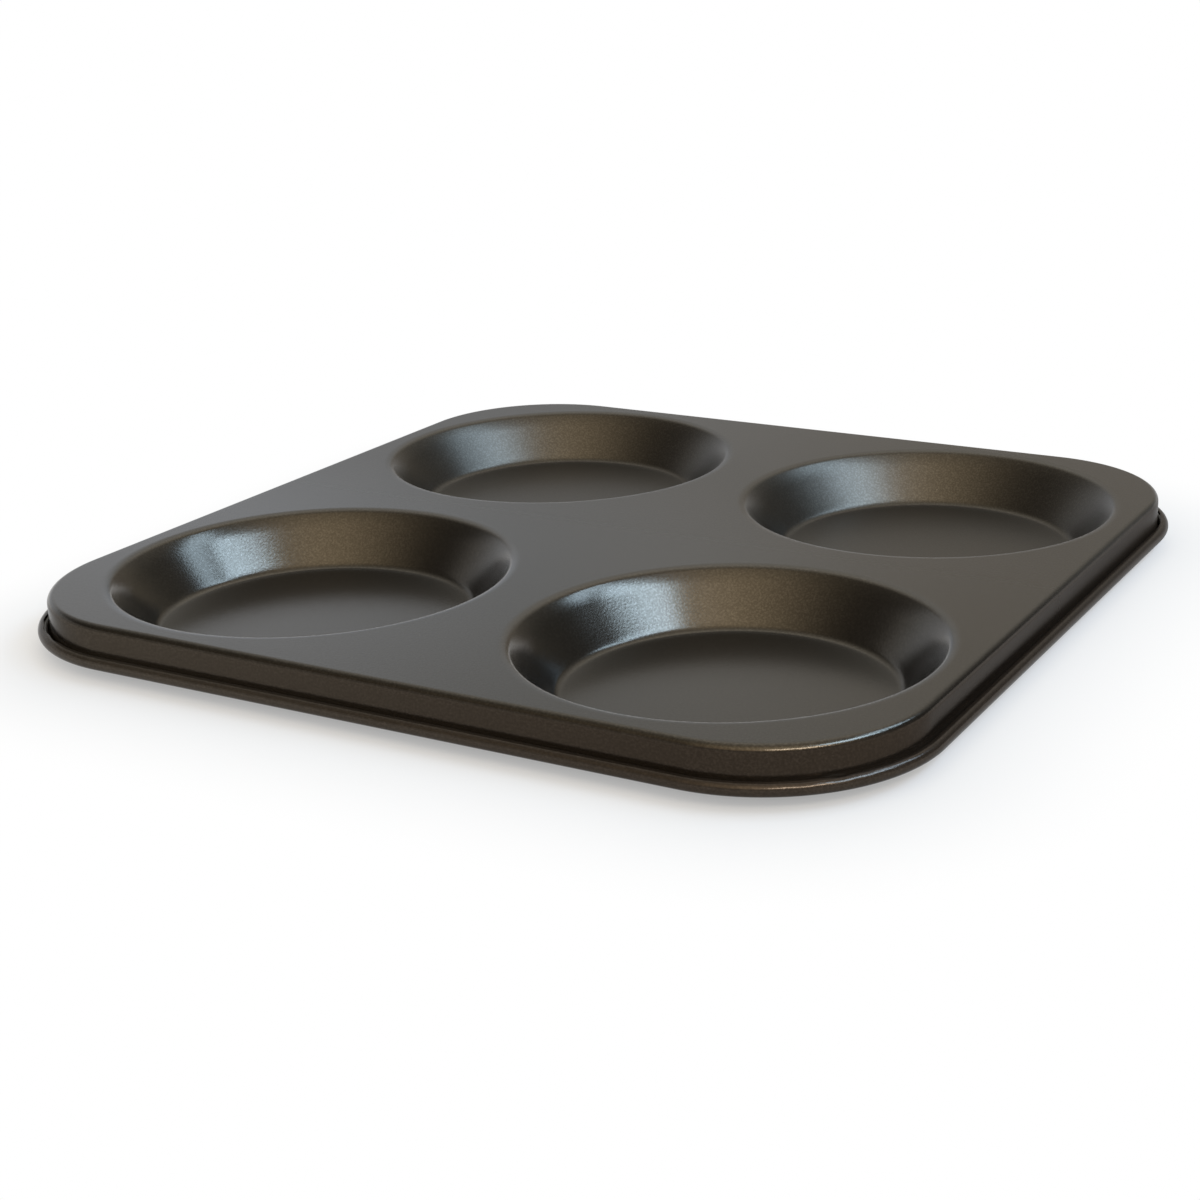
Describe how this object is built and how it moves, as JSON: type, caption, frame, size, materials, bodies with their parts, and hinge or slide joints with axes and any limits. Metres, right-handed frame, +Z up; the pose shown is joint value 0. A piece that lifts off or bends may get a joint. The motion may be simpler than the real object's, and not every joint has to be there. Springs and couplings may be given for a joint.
{
  "type": "yorkshire pudding tray",
  "caption": "Square pressed-steel baking tray with wide, shallow, flared cups for batter, a turned-down skirt and a rim rolled round a stiffening wire.",
  "frame": {"origin": "on the table, under the middle of the tray, in the plane of the undersides of the cup floors", "axes": "+Z up, out of the cups; +X and +Y along the tray's straight sides"},
  "size_m": [0.24, 0.24, 0.014],
  "materials": {
    "nonstick_coating": "satin dark grey-brown non-stick coating on pressed steel",
    "drawn_wire": "bare drawn steel wire, dulled by the oven"
  },
  "bodies": {
    "root": {"tray_sheet": "nonstick_coating", "rim_wire": "drawn_wire"}
  },
  "joints": []
}
